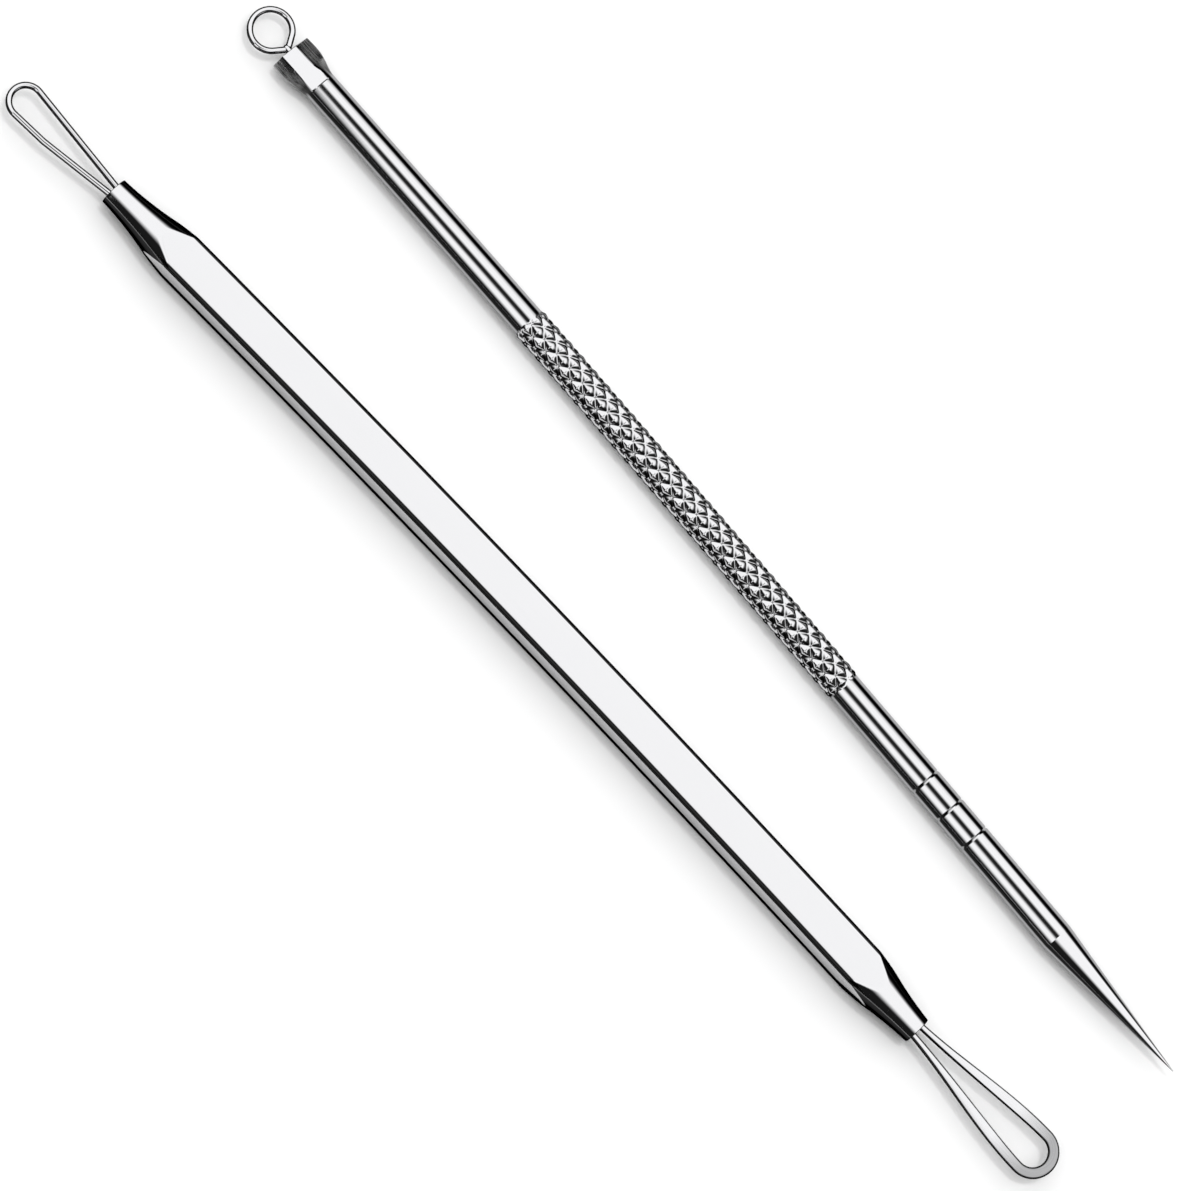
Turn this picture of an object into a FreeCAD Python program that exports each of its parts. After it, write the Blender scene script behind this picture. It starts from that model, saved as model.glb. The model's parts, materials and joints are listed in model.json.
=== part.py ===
import FreeCAD, Part
import math
import os

from FreeCAD import Placement, Rotation, Vector

# A set of two steel skin tools lying on a table, in millimetres. The loop tool has a
# square handle with a narrow wire loop at one end and a wide flat loop at the other.
# The needle tool has a round knurled handle with a ring at one end and a needle point
# at the other. X runs along the square handle towards the wide loop, Z is up, and the
# origin is under the middle of the set.

# Square handle
handle_len = 100.85
handle_side = 4.0
handle_corner_r = 0.42
neck_r = 1.34
neck_edge_break = 0.08
narrow_taper_len = 8.2
wide_taper_len = 7.3
narrow_taper_rise_share = 0.29
wide_taper_rise_share = 0.35

# Narrow loop: round wire, with the tip a little to one side and a kink in one leg
narrow_wire_d = 0.6
narrow_leg_spacing = 0.84
narrow_leg_depth = 5.0
narrow_tip_distance = 10.8
narrow_tip_r = 1.5
narrow_tip_offset = -0.15
narrow_kink_share = 0.68
narrow_kink_out = 0.22
narrow_bend_r = 3.0
narrow_bore_r = 0.85

# Wide loop: a strip that widens and thins from the neck to the tip
wide_neck_half_w = 0.82
wide_leg_w = 0.58
wide_leg_depth = 5.0
wide_leg_t = 0.5
wide_tip_distance = 14.45
wide_tip_outer_r = 2.43
wide_tip_inner_r = 1.4
wide_tip_t = 0.32
wide_outer_curve_shares = ((0.35, 0.24), (0.66, 1.0))
wide_inner_curve_shares = ((0.35, 0.18), (0.80, 1.0))
wide_bore_r = 0.95

# Round handle
shaft_r = 1.5
knurl_start = 31.56
knurl_len = 42.2
knurl_crest_r = 1.66
knurl_depth = 0.24
knurl_starts = 7
knurl_pitches = 25
front_len = 28.65
groove_first = 10.87
groove_spacing = 3.25
groove_count = 3
groove_w = 0.26
groove_depth = 0.08
point_len = 15.5
point_tip_r = 0.04

# Crimped end of the round handle: a flat land between two sloping fins
crimp_len = 4.1
crimp_span = 3.9
crimp_land_w = 1.5
crimp_land_offset = -0.36
crimp_land_drop = 0.3
crimp_shoulder_w = 0.32
crimp_shoulder_drop = 0.38
crimp_fin_edge_t = 0.4
crimp_root_share = 0.985
crimp_root_angles = (40.0, 8.0)
crimp_blend_shares = ((0.0, 0.0), (0.33, -0.1), (0.66, 0.4), (0.87, 0.9), (1.0, 1.0))

# Ring and its stem
ring_wire_d = 0.58
ring_mean_r = 1.88
ring_gap = 0.37
ring_end_reach = 0.42
ring_end_spacing = 0.4
stem_d = 0.65
stem_depth = 4.5
stem_reach = 0.78

# The needle tool's place beside the loop tool: crimped end, from the narrow neck's end
needle_tool_along = 1.42
needle_tool_aside = 20.14
needle_tool_yaw = -2.94

# Every cut runs this far past the faces that it opens
overrun = 1.0


def revolved(edges):
    """Solid of one turn about X from a closed profile in the XY plane."""
    face = Part.Face(Part.Wire(edges))
    return face.revolve(Vector(0, 0, 0), Vector(1, 0, 0), 360)


def rounded_path(points, radii):
    """Edges through the points, with each inner corner rounded by its radius."""
    edges = []
    start = points[0]
    for before, corner, after, radius in zip(points, points[1:], points[2:], radii):
        back = (before - corner).normalize()
        ahead = (after - corner).normalize()
        half_angle = back.getAngle(ahead) / 2
        reach = radius / math.tan(half_angle)
        inward = (back + ahead).normalize()
        middle = corner + inward * (radius / math.sin(half_angle) - radius)
        first = corner + back * reach
        last = corner + ahead * reach
        edges.append(Part.LineSegment(start, first).toShape())
        edges.append(Part.Arc(first, middle, last).toShape())
        start = last
    edges.append(Part.LineSegment(start, points[-1]).toShape())
    return edges


def tangent_point(start, centre, radius, side):
    """Where a line from start touches the circle, on its +Y (1) or -Y (-1) side."""
    away = start - centre
    turn = math.acos(radius / away.Length)
    heading = math.atan2(away.y, away.x) + side * turn
    return centre + Vector(math.cos(heading), math.sin(heading), 0) * radius


def swept_wire(edges, diameter):
    """Round wire along a path of tangent edges that starts with a straight one."""
    path = Part.Wire(edges)
    first = path.OrderedEdges[0]
    start = path.OrderedVertexes[0].Point
    section = Part.Wire(Part.makeCircle(diameter / 2, start, first.tangentAt(first.FirstParameter)))
    pipe = Part.BRepOffsetAPI.MakePipeShell(path)
    pipe.add(section)
    pipe.build()
    pipe.makeSolid()
    return pipe.shape()


def bore(radius, depth, at_x, towards):
    """Blind hole cutter in from an end face at X, with its overrun outside."""
    start = Vector(at_x - towards * overrun, 0, 0)
    return Part.makeCylinder(radius, depth + overrun, start, Vector(towards, 0, 0))


def square_handle():
    half = handle_side / 2
    corner_reach = (half - handle_corner_r) * math.sqrt(2) + handle_corner_r
    bar = Part.makeBox(handle_len, handle_side, handle_side, Vector(0, -half, -half))
    long_edges = [e for e in bar.Edges if abs(e.tangentAt(e.FirstParameter).x) > 0.5]
    bar = bar.makeFillet(handle_corner_r, long_edges)

    rise = corner_reach - neck_r
    far = handle_len
    points = [
        Vector(0, 0, 0),
        Vector(0, neck_r - neck_edge_break, 0),
        Vector(neck_edge_break, neck_r, 0),
        Vector(narrow_taper_len / 2, neck_r + narrow_taper_rise_share * rise, 0),
        Vector(narrow_taper_len, corner_reach, 0),
        Vector(far - wide_taper_len, corner_reach, 0),
        Vector(far - wide_taper_len / 2, neck_r + wide_taper_rise_share * rise, 0),
        Vector(far - neck_edge_break, neck_r, 0),
        Vector(far, neck_r - neck_edge_break, 0),
        Vector(far, 0, 0),
    ]
    turned = revolved([
        Part.LineSegment(points[0], points[1]).toShape(),
        Part.LineSegment(points[1], points[2]).toShape(),
        Part.Arc(points[2], points[3], points[4]).toShape(),
        Part.LineSegment(points[4], points[5]).toShape(),
        Part.Arc(points[5], points[6], points[7]).toShape(),
        Part.LineSegment(points[7], points[8]).toShape(),
        Part.LineSegment(points[8], points[9]).toShape(),
        Part.LineSegment(points[9], points[0]).toShape(),
    ])
    handle = bar.common(turned)
    handle = handle.cut(bore(narrow_bore_r, narrow_leg_depth, 0, 1))
    return handle.cut(bore(wide_bore_r, wide_leg_depth, handle_len, -1))


def narrow_loop():
    leg_y = narrow_leg_spacing / 2
    centre = Vector(-narrow_tip_distance, narrow_tip_offset, 0)
    near_mouth = Vector(0, leg_y, 0)
    far_mouth = Vector(0, -leg_y, 0)
    near_touch = tangent_point(near_mouth, centre, narrow_tip_r, 1)
    straight_touch = tangent_point(far_mouth, centre, narrow_tip_r, -1)
    kink = far_mouth + (straight_touch - far_mouth) * narrow_kink_share - Vector(0, narrow_kink_out, 0)
    far_touch = tangent_point(kink, centre, narrow_tip_r, -1)
    tip = centre - Vector(narrow_tip_r, 0, 0)
    inside = Vector(narrow_leg_depth, 0, 0)

    edges = rounded_path([near_mouth + inside, near_mouth, near_touch], [narrow_bend_r])
    edges.append(Part.Arc(near_touch, tip, far_touch).toShape())
    edges += rounded_path([far_touch, kink, far_mouth, far_mouth + inside], [narrow_bend_r] * 2)
    return swept_wire(edges, narrow_wire_d)


def wide_loop():
    mouth = handle_len

    def place(along, aside):
        return Vector(mouth + along, aside, 0)

    def side_curve(half_w, tip_r, shares, sign):
        """Edge of the strip from the mouth to where it meets the tip's circle."""
        poles = [place(0, sign * half_w)]
        for along_share, aside_share in shares:
            aside = half_w + aside_share * (tip_r - half_w)
            poles.append(place(along_share * wide_tip_distance, sign * aside))
        poles.append(place(wide_tip_distance, sign * tip_r))
        curve = Part.BezierCurve()
        curve.setPoles(poles)
        return curve.toShape()

    def tip_arc(radius):
        tip = place(wide_tip_distance + radius, 0)
        ends = [place(wide_tip_distance, sign * radius) for sign in (1, -1)]
        return Part.Arc(ends[0], tip, ends[1]).toShape()

    outer = wide_neck_half_w
    inner = wide_neck_half_w - wide_leg_w
    edges = [tip_arc(wide_tip_outer_r), tip_arc(wide_tip_inner_r)]
    for sign in (1, -1):
        edges.append(side_curve(outer, wide_tip_outer_r, wide_outer_curve_shares, sign))
        edges.append(side_curve(inner, wide_tip_inner_r, wide_inner_curve_shares, sign))
        corners = [
            place(0, sign * outer),
            place(-wide_leg_depth, sign * outer),
            place(-wide_leg_depth, sign * inner),
            place(0, sign * inner),
        ]
        for first, last in zip(corners, corners[1:]):
            edges.append(Part.LineSegment(first, last).toShape())
    outline = Part.Face(Part.Wire(Part.__sortEdges__(edges)))
    plate = outline.extrude(Vector(0, 0, wide_leg_t))
    plate.translate(Vector(0, 0, -wide_leg_t / 2))

    reach = wide_tip_distance + wide_tip_outer_r
    side = wide_tip_outer_r + overrun
    wedge_points = [
        Vector(mouth - wide_leg_depth - overrun, -side, wide_leg_t / 2),
        Vector(mouth, -side, wide_leg_t / 2),
        Vector(mouth + reach, -side, wide_tip_t / 2),
        Vector(mouth + reach, -side, -wide_tip_t / 2),
        Vector(mouth, -side, -wide_leg_t / 2),
        Vector(mouth - wide_leg_depth - overrun, -side, -wide_leg_t / 2),
    ]
    wedge = Part.Face(Part.makePolygon(wedge_points, True))
    return plate.common(wedge.extrude(Vector(0, 2 * side, 0)))


def braze(radius, depth, at_x, towards, loop):
    """Filler that fills a neck's hole round the legs of its loop."""
    plug = Part.makeCylinder(radius, depth, Vector(at_x, 0, 0), Vector(towards, 0, 0))
    return plug.cut(loop)


def crimp_section(along, blend):
    """Closed outline of the crimped end: pressed shape at blend 0, round root at 1."""
    land_h = shaft_r - crimp_land_drop
    root_r = shaft_r * crimp_root_share
    root = [(math.sqrt(root_r ** 2 - land_h ** 2), land_h)]
    for angle in crimp_root_angles:
        turn = math.radians(angle)
        root.append((root_r * math.cos(turn), root_r * math.sin(turn)))

    def upper_side(sign):
        """Points from the land's edge on one side down to the edge of its fin."""
        land_edge = crimp_land_offset + sign * crimp_land_w / 2
        pressed = [
            (land_edge, land_h),
            (land_edge + sign * crimp_shoulder_w, land_h - crimp_shoulder_drop),
            (sign * crimp_span / 2, crimp_fin_edge_t / 2),
        ]
        points = []
        for (y0, z0), (y1, z1) in zip(pressed, root):
            points.append((y0 + blend * (sign * y1 - y0), z0 + blend * (z1 - z0)))
        return points

    right = upper_side(1)
    left = upper_side(-1)
    outline = right + [(y, -z) for y, z in reversed(right)]
    outline += [(y, -z) for y, z in left] + list(reversed(left))
    return Part.makePolygon([Vector(along, y, z) for y, z in outline], True)


def knurl():
    """Raised diamonds between two crossing sets of grooves, each diamond a pyramid."""
    step = knurl_len / (2 * knurl_pitches)
    turn = 2 * math.pi / knurl_starts
    groove_r = knurl_crest_r - knurl_depth

    def point(ring, angle, radius):
        return Vector(knurl_start + ring * step, radius * math.cos(angle), radius * math.sin(angle))

    def ring_angle(ring, index):
        return turn * (index + (ring % 2) / 2)

    faces = []

    def add_face(*corners):
        faces.append(Part.Face(Part.makePolygon(list(corners), True)))

    last = 2 * knurl_pitches
    for ring in range(1, last):
        for index in range(knurl_starts):
            angle = ring_angle(ring + 1, index)
            crest = point(ring, angle, knurl_crest_r)
            corners = [
                point(ring - 1, angle, groove_r),
                point(ring, angle - turn / 2, groove_r),
                point(ring + 1, angle, groove_r),
                point(ring, angle + turn / 2, groove_r),
            ]
            for first, second in zip(corners, corners[1:] + corners[:1]):
                add_face(first, second, crest)
    for ring, inner in ((0, 1), (last, last - 1)):
        ends = [point(ring, ring_angle(ring, i), groove_r) for i in range(knurl_starts)]
        add_face(*ends)
        for index in range(knurl_starts):
            between = point(inner, ring_angle(ring, index) + turn / 2, groove_r)
            add_face(ends[index], ends[(index + 1) % knurl_starts], between)
    shell = Part.makeShell(faces)
    shell.sewShape()
    return Part.makeSolid(shell)


def round_handle():
    sections = [crimp_section(share * crimp_len, blend) for share, blend in crimp_blend_shares]
    crimp = Part.makeLoft(sections, True, True)
    rear = Part.makeCylinder(shaft_r, knurl_start - crimp_len, Vector(crimp_len, 0, 0), Vector(1, 0, 0))

    knurl_end = knurl_start + knurl_len
    point_start = knurl_end + front_len
    profile = [Vector(knurl_end, 0, 0), Vector(knurl_end, shaft_r, 0)]
    for index in range(groove_count):
        place = knurl_end + groove_first + index * groove_spacing
        profile.append(Vector(place - groove_w / 2, shaft_r, 0))
        profile.append(Vector(place, shaft_r - groove_depth, 0))
        profile.append(Vector(place + groove_w / 2, shaft_r, 0))
    profile.append(Vector(point_start, shaft_r, 0))
    profile.append(Vector(point_start + point_len, point_tip_r, 0))
    profile.append(Vector(point_start + point_len, 0, 0))
    front = revolved(Part.makePolygon(profile, True).Edges)

    handle = crimp.fuse([rear, knurl(), front])
    return handle.cut(bore(stem_d / 2, stem_depth, 0, 1))


def ring_stem():
    """Straight pin with a domed outer end."""
    radius = stem_d / 2
    straight = stem_depth + stem_reach - radius
    pin = Part.makeCylinder(radius, straight, Vector(stem_depth, 0, 0), Vector(-1, 0, 0))
    dome = Part.makeSphere(radius, Vector(radius - stem_reach, 0, 0))
    return pin.fuse(dome).removeSplitter()


def ring_loop(stem):
    """Wire ring, drawn out to where its two ends fit the sides of the stem."""
    centre = Vector(-ring_gap - ring_wire_d / 2 - ring_mean_r, 0, 0)
    near_end = Vector(-ring_end_reach, ring_end_spacing / 2, 0)
    far_end = Vector(-ring_end_reach, -ring_end_spacing / 2, 0)
    near_touch = tangent_point(near_end, centre, ring_mean_r, 1)
    far_touch = tangent_point(far_end, centre, ring_mean_r, -1)
    edges = [
        Part.LineSegment(near_end, near_touch).toShape(),
        Part.Arc(near_touch, centre - Vector(ring_mean_r, 0, 0), far_touch).toShape(),
        Part.LineSegment(far_touch, far_end).toShape(),
    ]
    return swept_wire(edges, ring_wire_d).cut(stem)


def loop_tool():
    narrow = narrow_loop()
    wide = wide_loop()
    nodes = {
        "square_handle": square_handle(),
        "narrow_loop": narrow,
        "wide_loop": wide,
        "narrow_loop_braze": braze(narrow_bore_r, narrow_leg_depth, 0, 1, narrow),
        "wide_loop_braze": braze(wide_bore_r, wide_leg_depth, handle_len, -1, wide),
    }
    for shape in nodes.values():
        shape.translate(Vector(0, 0, handle_side / 2))
    return nodes


def needle_tool():
    stem = ring_stem()
    nodes = {"round_handle": round_handle(), "ring_stem": stem, "ring_loop": ring_loop(stem)}
    seat = Vector(needle_tool_along, needle_tool_aside, knurl_crest_r)
    turn = Rotation(Vector(0, 0, 1), needle_tool_yaw)
    for shape in nodes.values():
        shape.Placement = Placement(seat, turn).multiply(shape.Placement)
    return nodes


def main():
    os.makedirs("parts", exist_ok=True)
    nodes = {**loop_tool(), **needle_tool()}
    box = Part.makeCompound(list(nodes.values())).optimalBoundingBox(False, False)
    to_origin = Vector(-box.Center.x, -box.Center.y, -box.ZMin)
    print("moved by", to_origin)
    for name, shape in nodes.items():
        shape.translate(to_origin)
        shape.exportStep(f"parts/{name}.step")
        solids = len(shape.Solids)
        print(f"{name}: {solids} solid, {shape.Volume:.3f} mm3, valid {shape.isValid()}")


main()
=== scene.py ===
import json
import math

import bmesh
import bpy
import numpy as np
from mathutils import Matrix, Vector


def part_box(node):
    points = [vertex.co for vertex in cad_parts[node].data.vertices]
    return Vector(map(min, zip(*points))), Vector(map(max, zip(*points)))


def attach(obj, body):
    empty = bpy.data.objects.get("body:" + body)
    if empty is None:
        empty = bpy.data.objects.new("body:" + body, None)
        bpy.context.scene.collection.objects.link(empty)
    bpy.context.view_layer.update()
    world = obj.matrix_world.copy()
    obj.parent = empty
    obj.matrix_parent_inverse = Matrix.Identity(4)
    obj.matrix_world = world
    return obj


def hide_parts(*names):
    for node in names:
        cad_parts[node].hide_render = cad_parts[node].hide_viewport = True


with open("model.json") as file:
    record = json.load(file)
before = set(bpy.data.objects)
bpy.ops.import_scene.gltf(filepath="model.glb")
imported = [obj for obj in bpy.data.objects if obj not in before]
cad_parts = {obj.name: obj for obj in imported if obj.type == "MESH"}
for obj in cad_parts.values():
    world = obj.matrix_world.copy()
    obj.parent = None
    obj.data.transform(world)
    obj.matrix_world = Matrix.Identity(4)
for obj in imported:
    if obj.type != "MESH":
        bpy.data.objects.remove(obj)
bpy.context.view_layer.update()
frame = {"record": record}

# Lengths are metres, written as millimetres times this unit
MM = 0.001

# Square handle: its length, side and place come from the frame
HANDLE_LOW, HANDLE_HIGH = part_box("square_handle")
HANDLE_LEN = HANDLE_HIGH.x - HANDLE_LOW.x
HALF_SIDE = (HANDLE_HIGH.z - HANDLE_LOW.z) / 2
CORNER_R = 0.42 * MM
HALF_FLAT = HALF_SIDE - CORNER_R
NECK_R = 1.34 * MM
NECK_EDGE_R = 0.08 * MM
NARROW_TAPER = 8.2 * MM
WIDE_TAPER = 7.3 * MM
# Share of the taper's rise that is reached at half its length
NARROW_RISE_SHARE = 0.29
WIDE_RISE_SHARE = 0.35
# A neck's rings run to this many times its taper's length, past the tips of the scallops
SCALLOP_REACH = 1.2
SCALLOP_BLEND = 0.05 * MM
LEG_DEPTH = 5.0 * MM
NARROW_BORE_R = 0.85 * MM
WIDE_BORE_R = 0.95 * MM

# Braze: its foot clears the hole's bottom edge, and its dished face closes on a small eye
BRAZE_DISH = 0.12 * MM
BRAZE_FOOT_SHARE = 0.99
BRAZE_EYE_SHARE = 0.02

# Both handles are bent a little sideways: the middle stands out and the ends fall back
LOOP_TOOL_BOW = 0.28 * MM
NEEDLE_TOOL_BOW = 0.17 * MM

# Narrow loop
NARROW_WIRE_R = 0.3 * MM
NARROW_LEG_Y = 0.42 * MM
NARROW_TIP_DISTANCE = 10.8 * MM
NARROW_TIP_R = 1.5 * MM
NARROW_TIP_OFFSET = -0.15 * MM
NARROW_KINK_SHARE = 0.68
NARROW_KINK_OUT = 0.22 * MM
NARROW_BEND_R = 3.0 * MM

# Wide loop
WIDE_OUTER = 0.82 * MM
WIDE_INNER = 0.24 * MM
WIDE_TIP_DISTANCE = 14.45 * MM
WIDE_TIP_OUTER_R = 2.43 * MM
WIDE_TIP_INNER_R = 1.4 * MM
WIDE_LEG_T = 0.5 * MM
WIDE_TIP_T = 0.32 * MM
WIDE_EDGE_W = 0.2 * MM
WIDE_EDGE_T = 0.15 * MM
# Shares of the way along and aside of the two inner poles of each edge's curve
WIDE_OUTER_SHARES = ((0.35, 0.24), (0.66, 1.0))
WIDE_INNER_SHARES = ((0.35, 0.18), (0.80, 1.0))

# Round handle, measured from its crimped end
SHAFT_R = 1.5 * MM
KNURL_START = 31.56 * MM
KNURL_LEN = 42.2 * MM
KNURL_END = KNURL_START + KNURL_LEN
FRONT_LEN = 28.65 * MM
POINT_START = KNURL_END + FRONT_LEN
POINT_LEN = 15.5 * MM
POINT_TIP_R = 0.04 * MM

# Knurl: two crossing sets of helical grooves leave crowned diamonds
KNURL_CREST_R = 1.66 * MM
KNURL_DEPTH = 0.24 * MM
KNURL_STARTS = 7
KNURL_PITCHES = 25
# Where the pattern starts and how long its run-out is, as shares of a pitch
KNURL_PHASE_SHARE = 0.25
KNURL_END_SHARE = 0.25
# How wide the grooves' floors are, how softly the two sets cross, and the power of the crown
KNURL_FLOOR_SHARE = 0.06
KNURL_RIDGE_BLEND = 0.04
KNURL_CROWN = 1.6

# Turned grooves, measured from the knurl's end
GROOVE_FIRST = 10.87 * MM
GROOVE_SPACING = 3.25 * MM
GROOVE_COUNT = 3
GROOVE_W = 0.26 * MM
GROOVE_DEPTH = 0.08 * MM

# Crimped end: a flat land between two shoulders, and a thin fin on each side
CRIMP_LEN = 4.1 * MM
CRIMP_SPAN = 3.9 * MM
CRIMP_EDGE_R = 0.05 * MM
LAND_W = 1.5 * MM
LAND_OFFSET = -0.36 * MM
LAND_H = 1.2 * MM
# The land rises by a share of its height along the crimp, and steps to the round shaft
# past a share of the crimp's length
LAND_RISE_SHARE = 0.08
LAND_STEP_SHARE = 0.97
# How far out and down from the land's edge the shoulders lie, on the +Y and the -Y side
SHOULDERS = {1: (0.42 * MM, 0.30 * MM), -1: (0.32 * MM, 0.38 * MM)}
FIN_EDGE_T = 0.4 * MM
# Where the fin's edge, the shoulder and the land meet the round shaft, in degrees from
# level, on the same two sides
CRIMP_ANGLES = {1: (6.4, 51.0, 68.0), -1: (6.4, 29.0, 39.0)}
# How far the section has gone from pressed to round, by the share of the crimp's length
CRIMP_BLEND_SHARES = ((0.0, 0.0), (0.33, -0.1), (0.66, 0.4), (0.87, 0.9), (1.0, 1.0))

# Ring and stem
RING_WIRE_R = 0.29 * MM
RING_MEAN_R = 1.88 * MM
RING_GAP = 0.37 * MM
RING_END = Vector((-0.42 * MM, 0.2 * MM, 0))
STEM_R = 0.325 * MM
STEM_DEPTH = 4.5 * MM
STEM_REACH = 0.78 * MM

# Mesh fineness
KNURL_CELLS = 8
KNURL_ROWS = 2 * KNURL_CELLS * KNURL_PITCHES
AROUND = 2 * KNURL_CELLS * KNURL_STARTS
WIRE_SIDES = 32
FLAT_STEPS = 22
CORNER_STEPS = 14
NECK_EDGE_STEPS = 7
TAPER_STEPS = 90
BAR_STEPS = 34
ARC_STEPS = 48
BEND_STEPS = 9
STRIP_CORNER_STEPS = 7
CAP_STEPS = 12
CRIMP_STEPS = 90
SHAFT_STEPS = 12
GROOVE_STEPS = 9
POINT_STEPS = 24
SHARP_ANGLE = math.radians(38)
# An extra ring this near to an edge keeps the shading beside it even
BESIDE = 0.02 * MM

# Angles and unit circle of the round handle's columns
ANGLES = np.arange(AROUND) / AROUND * 2 * math.pi
CIRCLE = np.stack([np.cos(ANGLES), np.sin(ANGLES)], axis=1)

# Metals reflect about this share of what they see. The near-black is painted shade that
# stands in for dark reflections on the bar's corners and low sides and the strip's edges,
# and the fins' grey is painted shade on the pressed fins
STEEL = (0.58, 0.58, 0.59)
PAINTED_SHADE_STEEL = (0.02, 0.02, 0.02)
PAINTED_FIN_SHADE = (0.45, 0.45, 0.45)
BRAZE_METAL = (0.55, 0.54, 0.52)
WHITE = (1.0, 1.0, 1.0)
# Painted reflection: the base colour is scaled by these levels by how far a surface turns
# from the eye, 0 facing it, which paints dark bands of reflected surroundings on the rims;
# and the tint of the reflection at grazing angles
ROUND_PAINTED_RIM = ((0.185, 1.0), (0.245, 0.02), (0.42, 0.02), (0.52, 0.7))
KNURL_PAINTED_RIM = ((0.36, 1.0), (0.5, 0.05))
PAINTED_DARK_RIM = ((0.17, 1.0), (0.26, 0.04))
ROUND_TINT = 0.7
DARK_TINT = 0.05
FLAT_TINT = 0.9

# Fine marks, as noise in cycles per metre along X, Y and Z, and how fine their detail is
ALONG_LINES = (90, 9000, 9000)
ROUND_LINES = (9000, 60, 60)
HAZE = (160, 700, 700)
FIN_STREAKS = (250, 5000, 5000)
STRIP_LINES = (120, 14000, 1)
BRAZE_GRAIN = (6000, 6000, 6000)
PLAIN_DETAIL = 3.0
HAZE_DETAIL = 2.0
STRIP_DETAIL = 4.0
# Ranges of the noise values that the marks make use of
HAZE_SPAN = (0.1, 0.45)
STREAK_SPAN = (0.35, 0.65)
GRAIN_SPAN = (0.3, 0.7)

# Roughness, and the strength and depth of the bumps
BAR_ROUGH = 0.06
SHAFT_ROUGH = 0.045
WIRE_ROUGH = 0.07
ROUGH_SPREAD = (0.6, 1.6)
PAINTED_SHADE_ROUGH = 0.15
FIN_ROUGH = (0.1, 0.3)
STRIP_ROUGH = 0.1
SATIN_ROUGH = 0.22
STRIP_SPREAD = (0.7, 1.4)
BRAZE_ROUGH = (0.25, 0.45)
POLISH_RELIEF = 0.015
STRIP_RELIEF = 0.04
BRAZE_RELIEF = 0.2
RELIEF_DEPTH = 0.02 * MM

# The bar's flats are plain steel down to these depths, without the painted dark rim, and
# its corners turn to painted shade, near-black for dark reflections, over this share of their radius
FLAT_SKIN = (0.04 * MM, 0.01 * MM)
CORNER_SHADE_SHARE = 0.15
# The bar's sides have painted shade below these shares of the half side, and the painted
# band rises where the necks begin, by the share of the half length from the middle
SIDE_SHADE = (-0.4, -0.28)
NECK_SHADE_REACH = (0.84, 0.89)
NECK_SHADE_RISE = 0.5

# The knurl's own painted dark rim sets in over this length
KNURL_FADE = 0.2 * MM
# The fins' rougher finish and painted shade fade out past this share of the crimp's length
# and between these shares of the land's height
FIN_END_SHARE = 0.9
FIN_TOP_SHARES = (0.75, 0.95)
# How much of the fins' painted shade the streaks show, and its level along the crimp
FIN_SHADE = (1.0, 0.7)
FIN_STOPS = ((0.4, 1.0), (0.8, 0.1))

# The strip turns satin, and greyer with painted shade, between these distances from the neck
WIDE_SATIN_AND_SHADE = (11.0 * MM, 15.0 * MM)
STRIP_TIP_SHARE = 0.48
STRIP_SHADE = (0.6, 1.0)
# Its edges go from near-black painted shade to bright as the upright part of the normal
# passes these levels
STRIP_LEVEL = (0.96, 0.998)

# Floor
FLOOR_HALF = 5.0
FLOOR_WHITE = (0.93, 0.93, 0.93)

# Key light, high on the needle tool's side, and a wide fill from straight above:
# strength, elevation and angular size
LAMPS = {"key": (0.45, 80.3, 7.5), "fill": (0.43, 90.0, 30.0)}

# The studio by the angle from straight up in the plane across the tools, in degrees,
# positive towards the loop tool's side: (angle, level). In the middle of the tools'
# length two soft boxes leave a dark gap, and beyond it one wide box hangs overhead.
MIDDLE_STOPS = (
    (-78, 0.01), (-36, 1.0), (-15, 1.0), (4, 0.01),
    (17, 0.02), (38, 1.0), (54, 1.0), (80, 0.01),
)
SIDE_STOPS = ((-80, 0.01), (-45, 1.0), (18, 1.0), (48, 0.01))
# The same by the direction along the tools, from -1 to 1
LENGTH_STOPS = ((-0.95, 0.5), (-0.8, 1.0), (0.45, 1.0), (0.56, 0.02), (0.84, 0.02), (0.94, 0.5))
# Where along the tools the middle lies, how far from it the two boxes give way to the
# wide one, and how bright the boxes are
MIDDLE_CENTRE = -0.015
MIDDLE_REACH = (0.095, 0.12)
BOX_LEVEL = 1.56

# The picture's view: how high the camera stands, how far the handle leans in the
# picture, and the height of the frame and the place of its middle from the narrow neck
VIEW_ELEVATION = 75.6
VIEW_LEAN = 46.27
VIEW_MIDDLE = Vector((53.86 * MM, 5.41 * MM, 0))
VIEW_HEIGHT = 103.57 * MM
VIEW_CLIP = 10.0 * MM
LENS_MM = 200.0
SENSOR_MM = 36.0


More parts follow.
